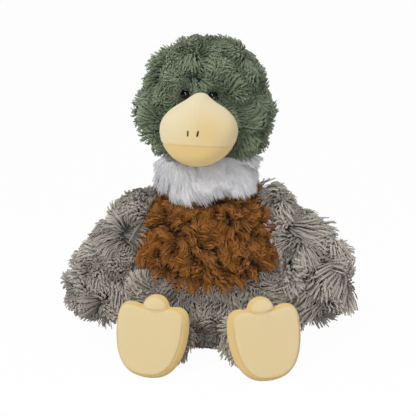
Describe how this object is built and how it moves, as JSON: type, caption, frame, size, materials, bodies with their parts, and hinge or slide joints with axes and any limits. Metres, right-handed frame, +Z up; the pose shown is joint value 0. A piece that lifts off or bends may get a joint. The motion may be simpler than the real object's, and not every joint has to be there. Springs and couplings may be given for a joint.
{
  "type": "plush duck",
  "caption": "Sitting soft toy duck with a curly head, velour bill, silky neck ruff, folded wings and webbed feet.",
  "frame": {"origin": "middle of the flat seat that the toy sits on", "axes": "+Z up out of the seat, -Y the way the toy faces, +X to the viewer's right of a viewer in front"},
  "size_m": [0.3074, 0.2705, 0.3175],
  "materials": {
    "grey_plush": "matte",
    "brown_plush": "matte",
    "white_plush": "satin",
    "green_plush": "matte",
    "cream_velour": "matte",
    "fibre_stuffing": "matte",
    "grain_cloth": "matte",
    "black_plastic": "gloss",
    "clear_plastic": "satin",
    "black_thread": "matte"
  },
  "bodies": {
    "torso": {"body_cover": "grey_plush", "chest_panel": "brown_plush", "body_stuffing": "fibre_stuffing", "grain_pouch": "grain_cloth", "tail_cover": "grey_plush", "tail_stuffing": "fibre_stuffing"},
    "neck": {"neck_ruff": "white_plush", "neck_stuffing": "fibre_stuffing"},
    "head": {"head_cover": "green_plush", "head_stuffing": "fibre_stuffing", "bill_upper": "cream_velour", "bill_lower": "cream_velour", "bill_stuffing": "fibre_stuffing", "eye_left": "black_plastic", "eye_right": "black_plastic", "eye_washer_left": "clear_plastic", "eye_washer_right": "clear_plastic", "nostril_left": "black_thread", "nostril_right": "black_thread"},
    "wing_left": {"wing_left_cover": "grey_plush", "wing_left_stuffing": "fibre_stuffing"},
    "wing_right": {"wing_right_cover": "grey_plush", "wing_right_stuffing": "fibre_stuffing"},
    "leg_left": {"leg_left_cover": "grey_plush", "leg_left_stuffing": "fibre_stuffing"},
    "leg_right": {"leg_right_cover": "grey_plush", "leg_right_stuffing": "fibre_stuffing"},
    "foot_left": {"foot_left_sole": "cream_velour", "foot_left_upper": "cream_velour", "foot_left_toe": "cream_velour", "foot_left_stuffing": "fibre_stuffing"},
    "foot_right": {"foot_right_sole": "cream_velour", "foot_right_upper": "cream_velour", "foot_right_toe": "cream_velour", "foot_right_stuffing": "fibre_stuffing"}
  },
  "joints": [
    {"name": "neck_nod", "type": "hinge", "parent": "torso", "child": "neck", "pos_m": [-0.002, 0, 0.176], "axis": [1, 0, 0], "range_deg": [-15, 15], "stiffness_Nm_per_rad": 2},
    {"name": "head_turn", "type": "hinge", "parent": "neck", "child": "head", "pos_m": [-0.002, 0, 0.176], "axis": [0, 0, 1], "range_deg": [-23.7, 36.3], "stiffness_Nm_per_rad": 0.5},
    {"name": "wing_left_lift", "type": "hinge", "parent": "torso", "child": "wing_left", "pos_m": [-0.0576, -0.002, 0.157], "axis": [0, 1, 0], "range_deg": [0, 80]},
    {"name": "leg_left_swing", "type": "hinge", "parent": "torso", "child": "leg_left", "pos_m": [-0.036, -0.065, 0.03], "axis": [1, 0, 0], "range_deg": [-25, 45]},
    {"name": "foot_left_flex", "type": "hinge", "parent": "leg_left", "child": "foot_left", "pos_m": [-0.0482, -0.1212, 0.026], "axis": [1, 0, 0], "range_deg": [-15, 15], "stiffness_Nm_per_rad": 0.1},
    {"name": "wing_right_lift", "type": "hinge", "parent": "torso", "child": "wing_right", "pos_m": [0.0576, -0.002, 0.157], "axis": [0, -1, 0], "range_deg": [0, 80]},
    {"name": "leg_right_swing", "type": "hinge", "parent": "torso", "child": "leg_right", "pos_m": [0.036, -0.065, 0.03], "axis": [1, 0, 0], "range_deg": [-25, 45]},
    {"name": "foot_right_flex", "type": "hinge", "parent": "leg_right", "child": "foot_right", "pos_m": [0.0482, -0.1312, 0.026], "axis": [1, 0, 0], "range_deg": [-15, 15], "stiffness_Nm_per_rad": 0.1}
  ]
}
